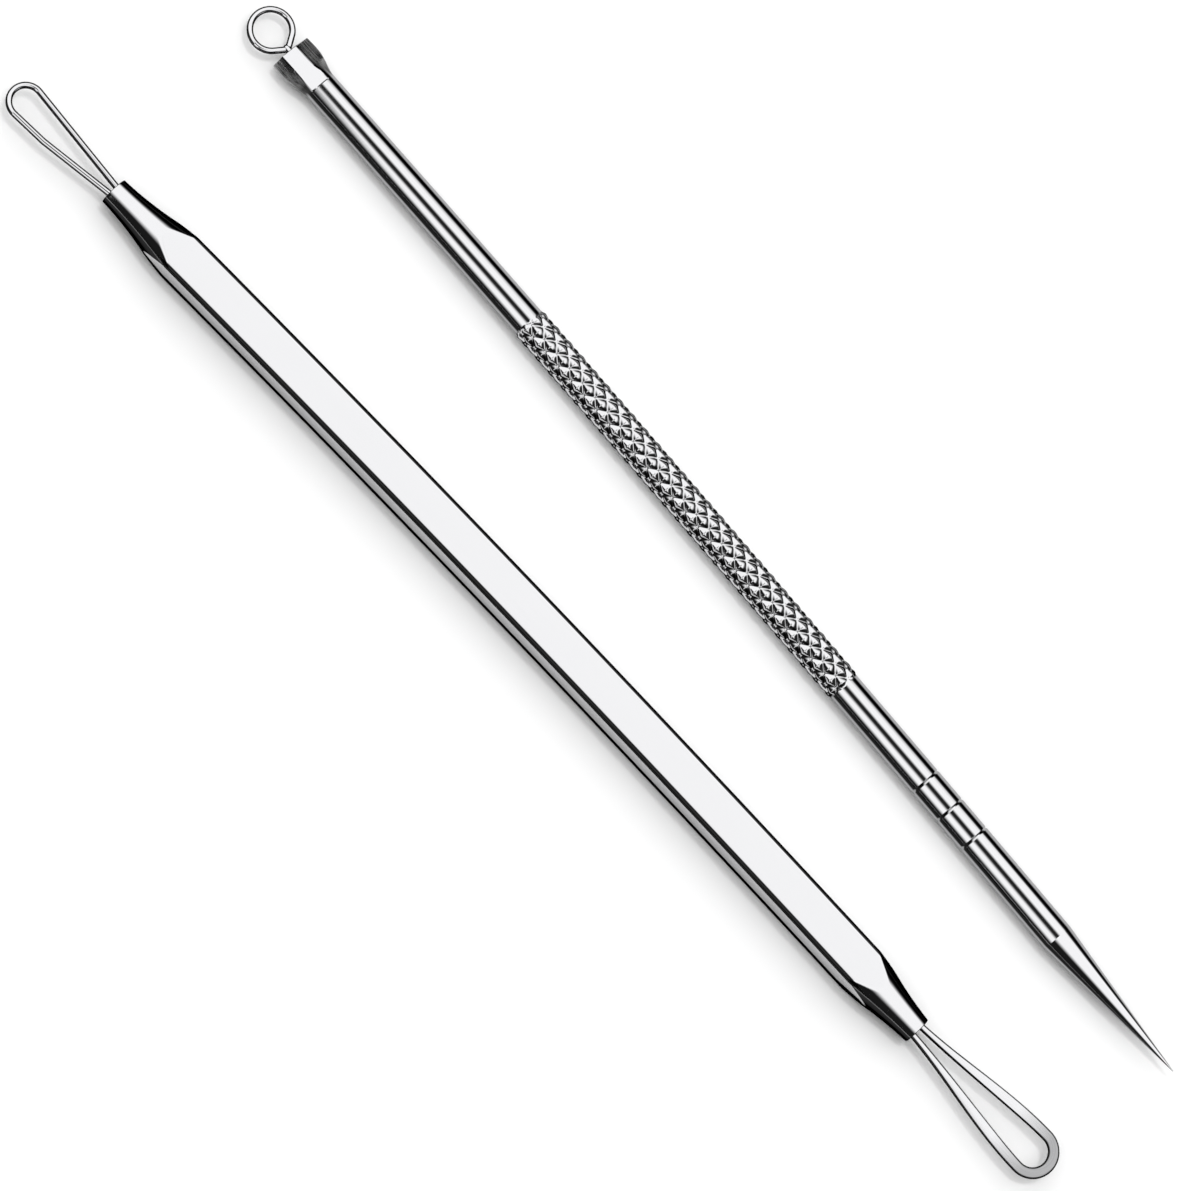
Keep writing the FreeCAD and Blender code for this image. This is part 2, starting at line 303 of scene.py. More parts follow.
class Tool:
    """One of the two tools: its body, its place, and the length and bow of its handle.

    Local X runs along the handle from its first end, and the local origin is on its axis.
    """

    def __init__(self, body, matrix, length, bow):
        self.body = body
        self.matrix = matrix
        self.length = length
        self.bow = bow

    def placed(self, point):
        """Place in the frame of a local point, which follows the handle's bow."""
        x, y, z = point
        share = min(1, abs(2 * x / self.length - 1))
        return self.matrix @ Vector((x, y + self.bow * (1 - 2 * share ** 2), z))

    def add_tube(self, name, rings, material, node, slot, diagonal=None):
        """New smooth-shaded tube of rings of points that stands for a node of the frame."""
        points = [self.placed(point) for ring in rings for point in ring]
        mesh = bpy.data.meshes.new(name)
        mesh.from_pydata(points, [], tube_faces(len(rings), len(rings[0]), diagonal))
        shell = bmesh.new()
        shell.from_mesh(mesh)
        bmesh.ops.recalc_face_normals(shell, faces=shell.faces)
        shell.to_mesh(mesh)
        shell.free()
        mesh.polygons.foreach_set("use_smooth", [True] * len(mesh.polygons))
        mesh.set_sharp_from_angle(angle=SHARP_ANGLE)
        mesh.materials.append(material)
        piece = bpy.data.objects.new(name, mesh)
        bpy.context.scene.collection.objects.link(piece)
        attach(piece, self.body)
        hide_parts(node)


def loop_tool():
    """The tool with the square handle, from its narrow neck."""
    middle = (HANDLE_LOW + HANDLE_HIGH) / 2
    place = Matrix.Translation((HANDLE_LOW.x, middle.y, middle.z))
    return Tool("loop_tool", place, HANDLE_LEN, LOOP_TOOL_BOW)


def needle_tool():
    """The tool with the round handle, from its crimped end."""
    seat = next(m for m in frame["record"]["mounts"] if m["name"] == "cap_seat")
    axis = Vector(seat["axis"]).normalized()
    start = Vector(seat["pos_m"]) - axis * (KNURL_END + FRONT_LEN / 2)
    turn = Matrix.Rotation(math.atan2(axis.y, axis.x), 4, "Z")
    return Tool("needle_tool", Matrix.Translation(start) @ turn, POINT_START, NEEDLE_TOOL_BOW)


def tube_faces(rows, around, diagonal=None):
    """Faces of a tube of rings with a flat cap at both ends.

    diagonal(row, column) may say that a quad is split along its rising (1) or falling
    (-1) diagonal.
    """
    faces = [list(range(around))]
    for row in range(rows - 1):
        for column in range(around):
            right = (column + 1) % around
            a = row * around + column
            b = row * around + right
            c = (row + 1) * around + right
            d = (row + 1) * around + column
            split = diagonal(row, column) if diagonal else 0
            if split > 0:
                faces += [[a, b, c], [a, c, d]]
            elif split < 0:
                faces += [[a, b, d], [b, c, d]]
            else:
                faces.append([a, b, c, d])
    faces.append([(rows - 1) * around + column for column in range(around)])
    return faces


def turned_rings(rows):
    """Rings about X from rows of (x, radius)."""
    angles = np.arange(WIRE_SIDES) / WIRE_SIDES * 2 * math.pi
    return [[(x, r * math.cos(a), r * math.sin(a)) for a in angles] for x, r in rows]


def section_rings(sections):
    """Rings from (x, section) pairs, where a section holds points as (y, z)."""
    return [[(x, y, z) for y, z in section] for x, section in sections]


def smoothstep(low, high, value):
    share = np.clip((value - low) / (high - low), 0, 1)
    return share * share * (3 - 2 * share)


def soft_min(a, b, blend):
    share = np.clip(0.5 + 0.5 * (b - a) / blend, 0, 1)
    return b + (a - b) * share - blend * share * (1 - share)


def arc_through(first, middle, last):
    """Centre and radius of the circle through three points."""
    (x1, y1), (x2, y2), (x3, y3) = first, middle, last
    rows = 2 * np.array([[x2 - x1, y2 - y1], [x3 - x1, y3 - y1]])
    squares = [x ** 2 + y ** 2 for x, y in (first, middle, last)]
    centre = np.linalg.solve(rows, [squares[1] - squares[0], squares[2] - squares[0]])
    return centre, math.hypot(x1 - centre[0], y1 - centre[1])


def square_outline():
    """Points round the handle's rounded square section, as (y, z)."""
    side = [(HALF_SIDE, HALF_FLAT * (2 * step / FLAT_STEPS - 1)) for step in range(FLAT_STEPS)]
    for step in range(CORNER_STEPS):
        angle = step / CORNER_STEPS * math.pi / 2
        side.append((HALF_FLAT + CORNER_R * math.cos(angle), HALF_FLAT + CORNER_R * math.sin(angle)))
    points = list(side)
    for _ in range(3):
        side = [(-z, y) for y, z in side]
        points += side
    return np.array(points)


def taper_radius(distance, length, rise_share):
    """Radius of the turned taper at a distance from its end face."""
    reach = HALF_FLAT * math.sqrt(2) + CORNER_R
    middle = NECK_R + rise_share * (reach - NECK_R)
    centre, radius = arc_through((0, NECK_R), (length / 2, middle), (length, reach))
    return centre[1] - np.sqrt(radius ** 2 - (distance - centre[0]) ** 2)


def neck_rows(bore_r, taper, rise_share, bar_radii):
    """(distance from the end face, radii) from the hole's bottom out to the full bar."""
    every = np.ones_like(bar_radii)
    rows = [(LEG_DEPTH, bore_r * every), (NECK_EDGE_R, bore_r * every)]
    rows.append((0, (bore_r + NECK_EDGE_R / 2) * every))
    for angle in np.linspace(0, math.pi / 2, NECK_EDGE_STEPS):
        radius = NECK_R - NECK_EDGE_R * (1 - math.sin(angle))
        rows.append((NECK_EDGE_R * (1 - math.cos(angle)), radius * every))
    for distance in np.linspace(NECK_EDGE_R, taper * SCALLOP_REACH, TAPER_STEPS)[1:]:
        cone = taper_radius(distance, taper, rise_share)
        rows.append((distance, soft_min(bar_radii, cone * every, SCALLOP_BLEND)))
    return rows


def square_handle(tool, material):
    outline = square_outline()
    bar_radii = np.hypot(outline[:, 0], outline[:, 1])
    direction = outline / bar_radii[:, None]
    rows = neck_rows(NARROW_BORE_R, NARROW_TAPER, NARROW_RISE_SHARE, bar_radii)
    ends = NARROW_TAPER * SCALLOP_REACH, HANDLE_LEN - WIDE_TAPER * SCALLOP_REACH
    rows += [(x, bar_radii) for x in np.linspace(*ends, BAR_STEPS)[1:-1]]
    wide_rows = neck_rows(WIDE_BORE_R, WIDE_TAPER, WIDE_RISE_SHARE, bar_radii)
    rows += [(HANDLE_LEN - distance, radii) for distance, radii in wide_rows[::-1]]
    rings = section_rings((x, direction * radii[:, None]) for x, radii in rows)
    tool.add_tube("square_bar", rings, material, "square_handle", "handle_steel")


def braze(tool, name, node, mouth, inward, bore_r, material):
    """Filler in a neck's hole, with a dished face round the legs."""
    rows = [(mouth + inward * LEG_DEPTH, bore_r * BRAZE_FOOT_SHARE)]
    for share in np.linspace(1, BRAZE_EYE_SHARE, CAP_STEPS):
        depth = NECK_EDGE_R + BRAZE_DISH * (1 - share ** 2)
        rows.append((mouth + inward * depth, bore_r * share))
    tool.add_tube(name, turned_rings(rows), material, node, "braze")


def rounded_path(points, radii):
    """Path through the points, with each inner corner rounded by its radius."""
    path = [points[0]]
    for before, corner, after, radius in zip(points, points[1:], points[2:], radii):
        back = (before - corner).normalized()
        ahead = (after - corner).normalized()
        half_angle = back.angle(ahead) / 2
        centre = corner + (back + ahead).normalized() * (radius / math.sin(half_angle))
        first = corner + back * (radius / math.tan(half_angle))
        last = corner + ahead * (radius / math.tan(half_angle))
        for share in np.linspace(0, 1, BEND_STEPS):
            spoke = (first - centre).slerp(last - centre, share)
            path.append(centre + spoke.normalized() * radius)
    path.append(points[-1])
    return path


def wire_rings(path, radius):
    """Rings of a round wire along a path that lies flat in the XY plane."""
    path = np.array([tuple(p) for p in path])
    tangent = np.gradient(path, axis=0)
    tangent /= np.linalg.norm(tangent, axis=1)[:, None]
    side = np.stack([-tangent[:, 1], tangent[:, 0], np.zeros(len(path))], axis=1)
    up = np.array((0, 0, 1))
    angles = np.arange(WIRE_SIDES) / WIRE_SIDES * 2 * math.pi
    rings = []
    for place, across in zip(path, side):
        rings.append([place + radius * (math.cos(a) * across + math.sin(a) * up) for a in angles])
    return rings


def heading(point, centre):
    """Angle of a point about a centre, from 0 to a full turn."""
    return math.atan2(point.y - centre.y, point.x - centre.x) % (2 * math.pi)


def tangent_point(start, centre, radius, side):
    """Where a line from the start touches a circle, on the side 1 or -1."""
    angle = heading(start, centre) + side * math.acos(radius / (start - centre).length)
    return centre + Vector((math.cos(angle), math.sin(angle), 0)) * radius


def arc_points(centre, radius, first_angle, last_angle, steps):
    angles = np.linspace(first_angle, last_angle, steps)
    return [centre + Vector((math.cos(a), math.sin(a), 0)) * radius for a in angles]


def narrow_loop(tool, material):
    centre = Vector((-NARROW_TIP_DISTANCE, NARROW_TIP_OFFSET, 0))
    near_mouth = Vector((0, NARROW_LEG_Y, 0))
    far_mouth = Vector((0, -NARROW_LEG_Y, 0))
    inside = Vector((LEG_DEPTH, 0, 0))
    near_touch = tangent_point(near_mouth, centre, NARROW_TIP_R, 1)
    straight_touch = tangent_point(far_mouth, centre, NARROW_TIP_R, -1)
    kink = far_mouth.lerp(straight_touch, NARROW_KINK_SHARE) - Vector((0, NARROW_KINK_OUT, 0))
    far_touch = tangent_point(kink, centre, NARROW_TIP_R, -1)

    path = rounded_path([near_mouth + inside, near_mouth, near_touch], [NARROW_BEND_R])[:-1]
    ends = heading(near_touch, centre), heading(far_touch, centre)
    path += arc_points(centre, NARROW_TIP_R, *ends, ARC_STEPS)
    path += rounded_path([far_touch, kink, far_mouth, far_mouth + inside], [NARROW_BEND_R] * 2)[1:]
    rings = wire_rings(path, NARROW_WIRE_R)
    tool.add_tube("narrow_wire", rings, material, "narrow_loop", "loop_wire")


def bezier(poles, share):
    rest = 1 - share
    weights = (rest ** 3, 3 * rest ** 2 * share, 3 * rest * share ** 2, share ** 3)
    return sum((pole * weight for pole, weight in zip(poles, weights)), Vector((0, 0, 0)))


def strip_edge(half_w, tip_r, shares):
    """Points of one edge of the wide loop's strip, from its inner end to its tip."""
    centre = Vector((HANDLE_LEN + WIDE_TIP_DISTANCE, 0, 0))
    poles = [Vector((HANDLE_LEN, half_w, 0))]
    for along_share, aside_share in shares:
        aside = half_w + aside_share * (tip_r - half_w)
        poles.append(Vector((HANDLE_LEN + along_share * WIDE_TIP_DISTANCE, aside, 0)))
    poles.append(centre + Vector((0, tip_r, 0)))
    points = [poles[0] - Vector((LEG_DEPTH, 0, 0))]
    points += [bezier(poles, share) for share in np.linspace(0, 1, ARC_STEPS)[:-1]]
    return points + arc_points(centre, tip_r, math.pi / 2, 0, ARC_STEPS)


def strip_section():
    """Signs and directions of the corner points of a rounded rectangle."""
    section = []
    for turn, signs in enumerate(((1, 1), (-1, 1), (-1, -1), (1, -1))):
        for share in np.linspace(0, 1, STRIP_CORNER_STEPS):
            angle = (turn + share) * math.pi / 2
            section.append((*signs, math.cos(angle), math.sin(angle)))
    return section


def wide_loop(tool, material):
    outer = strip_edge(WIDE_OUTER, WIDE_TIP_OUTER_R, WIDE_OUTER_SHARES)
    inner = strip_edge(WIDE_INNER, WIDE_TIP_INNER_R, WIDE_INNER_SHARES)
    pairs = list(zip(outer, inner))
    flip = Vector((1, -1, 1))
    pairs += [(far * flip, near * flip) for far, near in pairs[-2::-1]]

    section = strip_section()
    reach = WIDE_TIP_DISTANCE + WIDE_TIP_OUTER_R
    rings = []
    for far, near in pairs:
        middle = (far + near) / 2
        across = (far - near).normalized()
        half_w = (far - near).length / 2
        along_share = min(1, max(0, (middle.x - HANDLE_LEN) / reach))
        half_t = (WIDE_LEG_T + along_share * (WIDE_TIP_T - WIDE_LEG_T)) / 2
        ring = []
        for sign_w, sign_t, cosine, sine in section:
            w = sign_w * (half_w - WIDE_EDGE_W) + WIDE_EDGE_W * cosine
            t = sign_t * (half_t - WIDE_EDGE_T) + WIDE_EDGE_T * sine
            ring.append(middle + across * w + Vector((0, 0, t)))
        rings.append(ring)
    tool.add_tube("wide_strip", rings, material, "wide_loop", "loop_strip")


def crimp_outline():
    """Points of the pressed section, one for each column round the shaft, as (y, z)."""
    placed = {}
    for sign in (1, -1):
        fin, shoulder, land = (round(AROUND * angle / 360) for angle in CRIMP_ANGLES[sign])
        land_edge = LAND_OFFSET + sign * LAND_W / 2
        out, down = SHOULDERS[sign]
        corners = (
            (fin, sign * CRIMP_SPAN / 2, FIN_EDGE_T / 2),
            (shoulder, land_edge + sign * out, LAND_H - down),
            (land, land_edge, LAND_H),
        )
        for column, y, z in corners:
            upper = column if sign > 0 else AROUND // 2 - column
            placed[upper] = (y, z)
            placed[AROUND - upper] = (y, -z)
    columns = sorted(placed)
    columns.append(columns[0] + AROUND)
    ys, zs = zip(*(placed[column % AROUND] for column in columns))
    every = np.arange(AROUND)
    every = np.where(every < columns[0], every + AROUND, every)
    return np.stack([np.interp(every, columns, ys), np.interp(every, columns, zs)], axis=1)


def round_section(along, radius=SHAFT_R):
    """Section of the round handle; its radius may differ from column to column."""
    return along, CIRCLE * np.reshape(radius, (-1, 1))


def back_sections():
    """Sections from the stem's hole over the pressed end and the plain shaft to the knurl."""
    pressed = crimp_outline()
    inset = 1 - CRIMP_EDGE_R / np.hypot(pressed[:, 0], pressed[:, 1])
    sections = [round_section(STEM_DEPTH, STEM_R), round_section(0, STEM_R)]
    sections.append((0, pressed * inset[:, None]))
    stations, blends = zip(*CRIMP_BLEND_SHARES)
    curve = np.polyfit(stations, blends, len(stations) - 1)
    on_land = np.isclose(np.abs(pressed[:, 1]), LAND_H)
    shaft = CIRCLE * SHAFT_R
    for share in np.linspace(CRIMP_EDGE_R / CRIMP_LEN, 1, CRIMP_STEPS):
        section = pressed + min(1, np.polyval(curve, share)) * (shaft - pressed)
        level = pressed[:, 1] * (1 + LAND_RISE_SHARE * share)
        level += smoothstep(LAND_STEP_SHARE, 1, share) * (shaft[:, 1] - level)
        section[:, 1] = np.where(on_land, level, section[:, 1])
        sections.append((share * CRIMP_LEN, section))
    sections.append(round_section(CRIMP_LEN + BESIDE))
    sections += [round_section(x) for x in np.linspace(CRIMP_LEN, KNURL_START, SHAFT_STEPS)[1:-1]]
    sections.append(round_section(KNURL_START - BESIDE))
    return sections


def knurl_edges(along, angle):
    """Distances from the nearest groove of each of the two crossing sets, up to a half."""
    steps = along / KNURL_LEN * KNURL_PITCHES - KNURL_PHASE_SHARE
    turns = angle / (2 * math.pi) * KNURL_STARTS
    rising = (turns - steps) % 1
    falling = (turns + steps) % 1
    return np.minimum(rising, 1 - rising), np.minimum(falling, 1 - falling)


def knurl_height(along, angle):
    """Height of the raised diamonds, 0 in the grooves and 1 on the crests."""
    edge = 2 * soft_min(*knurl_edges(along, angle), KNURL_RIDGE_BLEND)
    edge = np.clip((edge - KNURL_FLOOR_SHARE) / (1 - KNURL_FLOOR_SHARE), 0, 1)
    return 1 - (1 - edge) ** KNURL_CROWN


def knurl_sections():
    end_len = KNURL_END_SHARE * KNURL_LEN / KNURL_PITCHES
    groove_r = KNURL_CREST_R - KNURL_DEPTH
    sections = []
    for row in range(KNURL_ROWS + 1):
        along = row / KNURL_ROWS * KNURL_LEN
        radius = groove_r + KNURL_DEPTH * knurl_height(along, ANGLES)
        rise = smoothstep(0, end_len, min(along, KNURL_LEN - along))
        sections.append(round_section(KNURL_START + along, SHAFT_R + rise * (radius - SHAFT_R)))
    return sections


def front_sections():
    """Sections from the knurl over the turned grooves to the needle's tip."""
    half_w = GROOVE_W / 2
    sections = [round_section(KNURL_END + BESIDE)]
    for index in range(GROOVE_COUNT):
        middle = KNURL_END + GROOVE_FIRST + index * GROOVE_SPACING
        sections.append(round_section(middle - half_w - BESIDE))
        for share in np.linspace(-1, 1, GROOVE_STEPS):
            radius = SHAFT_R - GROOVE_DEPTH * (1 - abs(share))
            sections.append(round_section(middle + share * half_w, radius))
        sections.append(round_section(middle + half_w + BESIDE))
    sections.append(round_section(POINT_START - BESIDE))
    for share in (0, BESIDE / POINT_LEN, *np.linspace(0, 1, POINT_STEPS)[1:]):
        radius = SHAFT_R + share * (POINT_TIP_R - SHAFT_R)
        sections.append(round_section(POINT_START + share * POINT_LEN, radius))
    return sections


def round_handle(tool, material):
    back = back_sections()

    def diagonal(row, column):
        """Splits the knurl's quads along the grooves that they lie nearest to."""
        knurl_row = row - len(back)
        if not 0 <= knurl_row < KNURL_ROWS:
            return 0
        along = (knurl_row + 0.5) / KNURL_ROWS * KNURL_LEN
        rising, falling = knurl_edges(along, (column + 0.5) / AROUND * 2 * math.pi)
        return 1 if rising < falling else -1

    rings = section_rings(back + knurl_sections() + front_sections())
    tool.add_tube("knurled_bar", rings, material, "round_handle", "knurled_steel", diagonal)


def ring_stem(tool, material):
    rows = [(STEM_DEPTH, STEM_R)]
    for angle in np.linspace(0, math.pi / 2, CAP_STEPS)[:-1]:
        rows.append((STEM_R - STEM_REACH - STEM_R * math.sin(angle), STEM_R * math.cos(angle)))
    tool.add_tube("stem_pin", turned_rings(rows), material, "ring_stem", "loop_wire")


def ring_loop(tool, material):
    centre = Vector((-RING_GAP - RING_WIRE_R - RING_MEAN_R, 0, 0))
    far_end = RING_END * Vector((1, -1, 1))
    near_touch = tangent_point(RING_END, centre, RING_MEAN_R, 1)
    far_touch = tangent_point(far_end, centre, RING_MEAN_R, -1)
    ends = heading(near_touch, centre), heading(far_touch, centre)
    path = [RING_END, *arc_points(centre, RING_MEAN_R, *ends, 3 * ARC_STEPS), far_end]
    rings = wire_rings(path, RING_WIRE_R)
    tool.add_tube("ring_wire", rings, material, "ring_loop", "loop_wire")


def opaque(colour):
    return (*colour, 1.0)


class Graph:
    """Node tree with short calls for the nodes used here."""

    def __init__(self, tree):
        self.nodes = tree.nodes
        self.links = tree.links

    def feed(self, socket, value):
        """Gives a socket a plain value, or links it to another node's output."""
        if isinstance(value, bpy.types.NodeSocket):
            self.links.new(value, socket)
        else:
            socket.default_value = value

    def add(self, kind, inputs):
        """New node whose inputs are fed by their names or numbers."""
        node = self.nodes.new(kind)
        for key, value in inputs.items():
            self.feed(node.inputs[key], value)
        return node

    def math(self, operation, *values):
        node = self.add("ShaderNodeMath", dict(enumerate(values)))
        node.operation = operation
        return node.outputs["Value"]

    def axes(self, vector):
        """X, Y and Z of a vector."""
        outputs = self.add("ShaderNodeSeparateXYZ", {"Vector": vector}).outputs
        return outputs["X"], outputs["Y"], outputs["Z"]

    def ranged(self, value, low, high, first, last):
        """Value mapped from low..high to first..last, clamped."""
        inputs = {"Value": value, "From Min": low, "From Max": high, "To Min": first, "To Max": last}
        return self.add("ShaderNodeMapRange", inputs).outputs["Result"]

    def stops(self, value, stops, colour, interpolation="LINEAR"):
        """Colour scaled by the level of each stop, by a value from 0 to 1."""
        node = self.add("ShaderNodeValToRGB", {"Fac": value})
        node.color_ramp.interpolation = interpolation
        elements = node.color_ramp.elements
        elements.remove(elements[1])
        for index, (position, level) in enumerate(stops):
            element = elements[0] if index == 0 else elements.new(position)
            element.position = position
            element.color = opaque([level * channel for channel in colour])
        return node.outputs["Color"]

    def eased(self, value, stops, low, high):
        """Brightness that eases through the stops' levels, by a value from low to high."""
        shares = [((place - low) / (high - low), level) for place, level in stops]
        return self.stops(self.ranged(value, low, high, 0.0, 1.0), shares, WHITE, "EASE")

    def mix(self, share, first, second, blend="MIX"):
        """Colour that goes from the first one to a blend with the second by a share."""
        node = self.add("ShaderNodeMixRGB", {"Fac": share, "Color1": first, "Color2": second})
        node.blend_type = blend
        return node.outputs["Color"]


class Finish(Graph):
    """Metal material under construction, in the local frame of one tool."""

    def __init__(self, name, colour, tool, painted_rim=PAINTED_DARK_RIM, tint=DARK_TINT):
        self.material = bpy.data.materials.new(name)
        self.material.use_nodes = True
        super().__init__(self.material.node_tree)
        self.shader = self.nodes["Principled BSDF"]
        self.facing = self.add("ShaderNodeLayerWeight", {}).outputs["Facing"]
        # Painted reflection: dark bands on the rims, from the base colour darkening as the surface turns
        # away
        self.painted_rim = self.stops(self.facing, painted_rim, colour)
        self.set("Metallic", 1.0)
        self.set("Base Color", self.painted_rim)
        self.set("Specular Tint", opaque((tint, tint, tint)))
        inverse = tool.matrix.inverted()
        inputs = {
            "Vector": self.add("ShaderNodeTexCoord", {}).outputs["Object"],
            "Location": inverse.translation,
            "Rotation": inverse.to_euler(),
        }
        self.place = self.add("ShaderNodeMapping", inputs).outputs["Vector"]

    def set(self, socket, value):
        """Feeds one of the shader's own sockets."""
        self.feed(self.shader.inputs[socket], value)

    def set_tint(self, share, first, last):
        """Tint of the grazing reflection, from the first level to the last by a share."""
        self.set("Specular Tint", self.stops(share, ((0, first), (1, last)), WHITE))

    def roughen(self, extra):
        """Adds to the roughness that is already linked."""
        plain = self.shader.inputs["Roughness"].links[0].from_socket
        self.set("Roughness", self.math("ADD", plain, extra))

    def relief(self, height, strength):
        """Fine bumps on the surface."""
        inputs = {"Height": height, "Strength": strength, "Distance": RELIEF_DEPTH}
        self.set("Normal", self.add("ShaderNodeBump", inputs).outputs["Normal"])

    def noise(self, scale, detail=PLAIN_DETAIL, vector=None):
        """Noise stretched by a scale for each axis, in cycles per metre."""
        stretch = self.add("ShaderNodeMapping", {"Vector": vector or self.place, "Scale": scale})
        inputs = {"Vector": stretch.outputs["Vector"], "Scale": 1.0, "Detail": detail}
        return self.add("ShaderNodeTexNoise", inputs).outputs["Fac"]


def polished_steel(name, tool, line_scale, roughness, **painted_rim):
    """Polished steel with fine lines along or round the tool, faint uneven haze and painted dark rims."""
    finish = Finish(name, STEEL, tool, **painted_rim)
    lines = finish.noise(line_scale)
    both = finish.math("MULTIPLY", lines, finish.noise(HAZE, HAZE_DETAIL))
    spread = [roughness * share for share in ROUGH_SPREAD]
    finish.set("Roughness", finish.ranged(both, *HAZE_SPAN, *spread))
    finish.relief(lines, POLISH_RELIEF)
    return finish


def bar_steel(name, tool):
    """Polished steel with near-black painted shade along the bar's edges and low on its sides."""
    finish = polished_steel(name, tool, ALONG_LINES, BAR_ROUGH)
    x, y, z = finish.axes(finish.place)
    off_middle = finish.math("ADD", finish.math("MULTIPLY", x, 2 / tool.length), -1.0)
    fall = finish.math("MULTIPLY", finish.math("POWER", off_middle, 2.0), -2 * tool.bow)
    aside = finish.math("SUBTRACT", y, finish.math("ADD", fall, tool.bow))
    sides = finish.math("ABSOLUTE", aside), finish.math("ABSOLUTE", z)

    skin = [HALF_SIDE - depth for depth in FLAT_SKIN]
    flat = finish.ranged(finish.math("MAXIMUM", *sides), *skin, 0.0, 1.0)
    corner = HALF_FLAT, HALF_FLAT + CORNER_SHADE_SHARE * CORNER_R
    edge = finish.ranged(finish.math("MINIMUM", *sides), *corner, 0.0, 1.0)
    to_neck = finish.ranged(finish.math("ABSOLUTE", off_middle), *NECK_SHADE_REACH, 0.0, NECK_SHADE_RISE)
    height = finish.math("SUBTRACT", z, finish.math("MULTIPLY", to_neck, HALF_SIDE))
    low = finish.ranged(height, *(share * HALF_SIDE for share in SIDE_SHADE), 1.0, 0.0)
    # Painted shade: near-black base colour on the corners and low on the sides, for dark reflections
    painted_shade = finish.math("MAXIMUM", edge, low)

    bright = finish.mix(flat, finish.painted_rim, opaque(STEEL))
    finish.set("Base Color", finish.mix(painted_shade, bright, opaque(PAINTED_SHADE_STEEL)))
    finish.set_tint(finish.math("SUBTRACT", flat, painted_shade), DARK_TINT, FLAT_TINT)
    finish.roughen(finish.math("MULTIPLY", painted_shade, PAINTED_SHADE_ROUGH))
    return finish.material


def crimped_steel(name, tool):
    """Polished steel, its own painted dark rim on the knurl, rougher streaked fins with painted shade."""
    finish = polished_steel(name, tool, ROUND_LINES, SHAFT_ROUGH, painted_rim=ROUND_PAINTED_RIM, tint=ROUND_TINT)
    x, _, z = finish.axes(finish.place)
    into_knurl = finish.ranged(x, KNURL_START, KNURL_START + KNURL_FADE, 0.0, 1.0)
    past_knurl = finish.ranged(x, KNURL_END - KNURL_FADE, KNURL_END, 1.0, 0.0)
    knurl = finish.math("MULTIPLY", into_knurl, past_knurl)
    # Painted reflection: the knurl has its own dark rim
    plain = finish.mix(knurl, finish.painted_rim, finish.stops(finish.facing, KNURL_PAINTED_RIM, STEEL))
    finish.set_tint(knurl, ROUND_TINT, DARK_TINT)

    in_crimp = finish.ranged(x, CRIMP_LEN * FIN_END_SHARE, CRIMP_LEN, 1.0, 0.0)
    below_land = finish.ranged(z, *(LAND_H * share for share in FIN_TOP_SHARES), 1.0, 0.0)
    fins = finish.math("MULTIPLY", in_crimp, below_land)
    streaks = finish.noise(FIN_STREAKS)
    finish.roughen(finish.math("MULTIPLY", fins, finish.ranged(streaks, *STREAK_SPAN, *FIN_ROUGH)))
    shade = finish.math("MULTIPLY", fins, finish.ranged(streaks, *STREAK_SPAN, *FIN_SHADE))
    along = finish.math("MULTIPLY", x, 1 / CRIMP_LEN)
    # Painted shade: the fins' grey, darker further along the crimp
    finish.set("Base Color", finish.mix(shade, plain, finish.stops(along, FIN_STOPS, PAINTED_FIN_SHADE)))
    return finish.material


def strip_steel(name, tool):
    """Bright strip with lines along it, satin and greyer by painted shade at its tip, painted shade on
    its edges.
    """
    finish = Finish(name, STEEL, tool)
    x, y, _ = finish.axes(finish.place)
    past_centre = finish.math("MAXIMUM", finish.math("SUBTRACT", x, tool.length + WIDE_TIP_DISTANCE), 0.0)
    squares = finish.math("ADD", finish.math("POWER", past_centre, 2.0), finish.math("POWER", y, 2.0))
    rail = finish.add("ShaderNodeCombineXYZ", {"X": x, "Y": finish.math("SQRT", squares)})
    lines = finish.noise(STRIP_LINES, STRIP_DETAIL, rail.outputs["Vector"])

    satin_and_shade = finish.ranged(x, *(tool.length + distance for distance in WIDE_SATIN_AND_SHADE), 0.0, 1.0)
    rough = finish.math("ADD", STRIP_ROUGH, finish.math("MULTIPLY", satin_and_shade, SATIN_ROUGH))
    spread = finish.ranged(lines, *GRAIN_SPAN, *STRIP_SPREAD)
    finish.set("Roughness", finish.math("MULTIPLY", rough, spread))
    shade = finish.math("MULTIPLY", satin_and_shade, finish.ranged(lines, *GRAIN_SPAN, *STRIP_SHADE))
    # Painted shade greys the strip towards its tip
    face = finish.stops(shade, ((0, 1.0), (1, STRIP_TIP_SHARE)), STEEL)

    _, _, upright = finish.axes(finish.add("ShaderNodeNewGeometry", {}).outputs["Normal"])
    edge = finish.ranged(finish.math("ABSOLUTE", upright), *STRIP_LEVEL, 1.0, 0.0)
    # Painted shade: near-black edges that stand for dark reflections
    finish.set("Base Color", finish.mix(edge, face, opaque(PAINTED_SHADE_STEEL)))
    finish.set_tint(edge, FLAT_TINT, DARK_TINT)
    finish.relief(lines, STRIP_RELIEF)
    return finish.material


def braze_metal(name, tool):
    """Satin silver filler with a faintly uneven skin and painted dark rims."""
    finish = Finish(name, BRAZE_METAL, tool)
    grain = finish.noise(BRAZE_GRAIN)
    finish.set("Roughness", finish.ranged(grain, *GRAIN_SPAN, *BRAZE_ROUGH))
    finish.relief(grain, BRAZE_RELIEF)
    return finish.material


